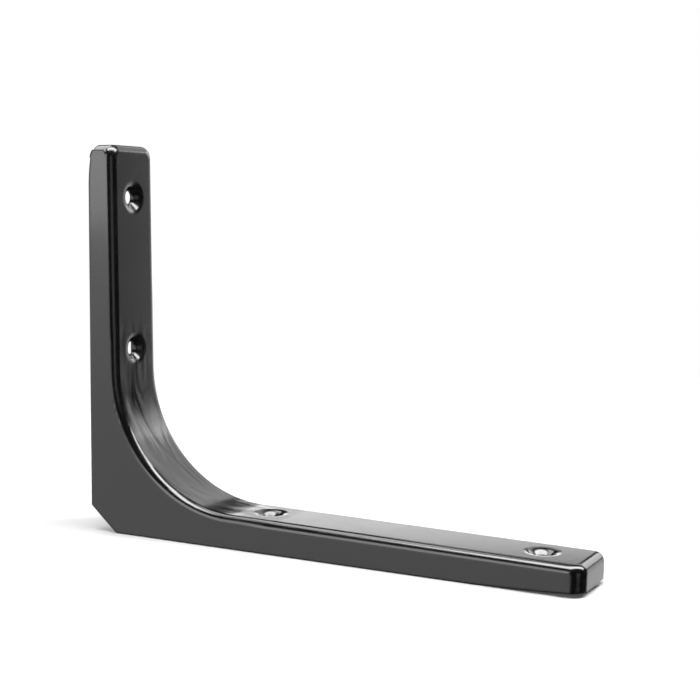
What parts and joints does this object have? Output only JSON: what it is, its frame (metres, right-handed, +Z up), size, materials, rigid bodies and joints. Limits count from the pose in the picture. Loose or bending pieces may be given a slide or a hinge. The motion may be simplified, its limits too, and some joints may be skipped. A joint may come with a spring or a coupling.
{
  "type": "l-shaped shelf bracket",
  "caption": "L-shaped shelf bracket pressed from one steel sheet: two tapering channel arms joined by a round sweep, with countersunk screw dimples.",
  "frame": {"origin": "middle of the bracket's bounding box on the shelf plane, which is the plane of the long arm's free edges", "axes": "+X from the wall plane towards the long arm's tip, +Y across the width, +Z up along the short arm"},
  "size_m": [0.2, 0.0274, 0.15],
  "materials": {
    "powder_coat": "semi-gloss black powder coat"
  },
  "bodies": {
    "root": {"bracket": "powder_coat"}
  },
  "joints": []
}
